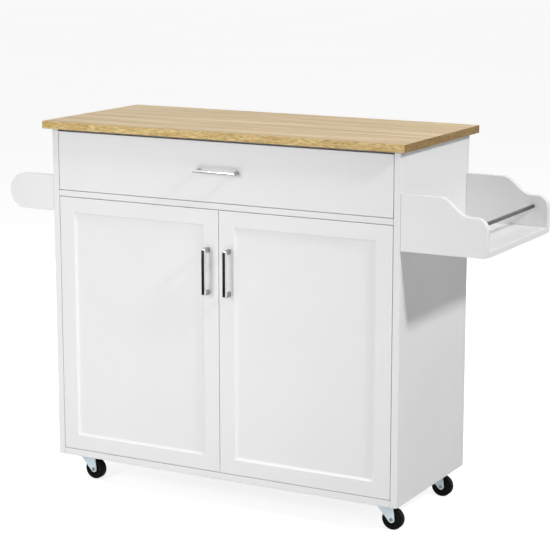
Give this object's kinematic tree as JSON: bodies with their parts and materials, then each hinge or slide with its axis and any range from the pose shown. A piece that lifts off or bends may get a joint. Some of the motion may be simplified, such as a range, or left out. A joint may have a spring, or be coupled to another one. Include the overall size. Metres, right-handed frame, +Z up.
{
  "type": "kitchen island cart",
  "caption": "Kitchen island cart on swivel casters: wooden worktop over a wide drawer and a cupboard with hinged doors and a shelf, towel rack on one end and spice rack on the other.",
  "frame": {"origin": "on the floor, under the middle of the bounding box", "axes": "+X along the width, from the towel rack to the spice rack; +Y from the front to the back; +Z up"},
  "size_m": [1.211, 0.412, 0.866],
  "materials": {
    "oak_worktop": "satin oak laminate",
    "white_laminate": "satin white laminated board",
    "white_lacquer": "satin white lacquered fibreboard",
    "drawer_foil": "matt white foil",
    "nickel_steel": "nickel plated",
    "chrome": "polished",
    "zinc_steel": "bright zinc plated",
    "black_rubber": "matt"
  },
  "bodies": {
    "cabinet": {"worktop": "oak_worktop", "side_panel_left": "white_laminate", "side_panel_right": "white_laminate", "bottom_panel": "white_laminate", "back_panel": "white_laminate", "front_rail": "white_laminate", "top_stretcher_front": "white_laminate", "top_stretcher_back": "white_laminate", "shelf": "white_laminate", "door_catch": "drawer_foil", "shelf_pin_left_front": "nickel_steel", "shelf_pin_left_back": "nickel_steel", "shelf_pin_right_front": "nickel_steel", "shelf_pin_right_back": "nickel_steel", "hinge_arm_left_low": "nickel_steel", "hinge_arm_left_high": "nickel_steel", "hinge_arm_right_low": "nickel_steel", "hinge_arm_right_high": "nickel_steel", "runner_cabinet_left": "zinc_steel", "runner_cabinet_right": "zinc_steel", "towel_bracket_front": "white_lacquer", "towel_bracket_back": "white_lacquer", "towel_rod": "chrome", "rack_board_front": "white_lacquer", "rack_board_back": "white_lacquer", "rack_floor": "white_lacquer", "rack_rod": "chrome", "caster_plate_left_front": "zinc_steel", "caster_plate_left_back": "zinc_steel", "caster_plate_right_front": "zinc_steel", "caster_plate_right_back": "zinc_steel"},
    "drawer": {"drawer_front": "white_lacquer", "drawer_side_left": "drawer_foil", "drawer_side_right": "drawer_foil", "drawer_back": "drawer_foil", "drawer_bottom": "drawer_foil", "drawer_handle": "chrome", "runner_drawer_left": "zinc_steel", "runner_drawer_right": "zinc_steel"},
    "door_left": {"door_left": "white_lacquer", "door_handle_left": "chrome", "hinge_cup_left_low": "nickel_steel", "hinge_cup_left_high": "nickel_steel"},
    "door_right": {"door_right": "white_lacquer", "door_handle_right": "chrome", "hinge_cup_right_low": "nickel_steel", "hinge_cup_right_high": "nickel_steel"},
    "fork_left_front": {"caster_fork_left_front": "zinc_steel", "caster_axle_left_front": "zinc_steel"},
    "wheel_left_front": {"caster_wheel_left_front": "black_rubber"},
    "fork_left_back": {"caster_fork_left_back": "zinc_steel", "caster_axle_left_back": "zinc_steel"},
    "wheel_left_back": {"caster_wheel_left_back": "black_rubber"},
    "fork_right_front": {"caster_fork_right_front": "zinc_steel", "caster_axle_right_front": "zinc_steel"},
    "wheel_right_front": {"caster_wheel_right_front": "black_rubber"},
    "fork_right_back": {"caster_fork_right_back": "zinc_steel", "caster_axle_right_back": "zinc_steel"},
    "wheel_right_back": {"caster_wheel_right_back": "black_rubber"}
  },
  "joints": [
    {"name": "drawer_slide", "type": "slide", "parent": "cabinet", "child": "drawer", "axis": [0, -1, 0], "range_m": [0, 0.28]},
    {"name": "door_left_hinge", "type": "hinge", "parent": "cabinet", "child": "door_left", "pos_m": [-0.4638, -0.1815, 0.38], "axis": [0, 0, -1], "range_deg": [0, 110]},
    {"name": "door_right_hinge", "type": "hinge", "parent": "cabinet", "child": "door_right", "pos_m": [0.3908, -0.1815, 0.38], "axis": [0, 0, 1], "range_deg": [0, 110]},
    {"name": "caster_swivel_left_front", "type": "hinge", "parent": "cabinet", "child": "fork_left_front", "pos_m": [-0.4305, -0.133, 0.0555], "axis": [0, 0, 1], "continuous": true},
    {"name": "wheel_spin_left_front", "type": "hinge", "parent": "fork_left_front", "child": "wheel_left_front", "pos_m": [-0.4095, -0.133, 0.025], "axis": [0, 1, 0], "continuous": true},
    {"name": "caster_swivel_left_back", "type": "hinge", "parent": "cabinet", "child": "fork_left_back", "pos_m": [-0.4305, 0.139, 0.0555], "axis": [0, 0, 1], "continuous": true},
    {"name": "wheel_spin_left_back", "type": "hinge", "parent": "fork_left_back", "child": "wheel_left_back", "pos_m": [-0.4095, 0.139, 0.025], "axis": [0, 1, 0], "continuous": true},
    {"name": "caster_swivel_right_front", "type": "hinge", "parent": "cabinet", "child": "fork_right_front", "pos_m": [0.3575, -0.133, 0.0555], "axis": [0, 0, 1], "continuous": true},
    {"name": "wheel_spin_right_front", "type": "hinge", "parent": "fork_right_front", "child": "wheel_right_front", "pos_m": [0.3785, -0.133, 0.025], "axis": [0, 1, 0], "continuous": true},
    {"name": "caster_swivel_right_back", "type": "hinge", "parent": "cabinet", "child": "fork_right_back", "pos_m": [0.3575, 0.139, 0.0555], "axis": [0, 0, 1], "continuous": true},
    {"name": "wheel_spin_right_back", "type": "hinge", "parent": "fork_right_back", "child": "wheel_right_back", "pos_m": [0.3785, 0.139, 0.025], "axis": [0, 1, 0], "continuous": true}
  ]
}
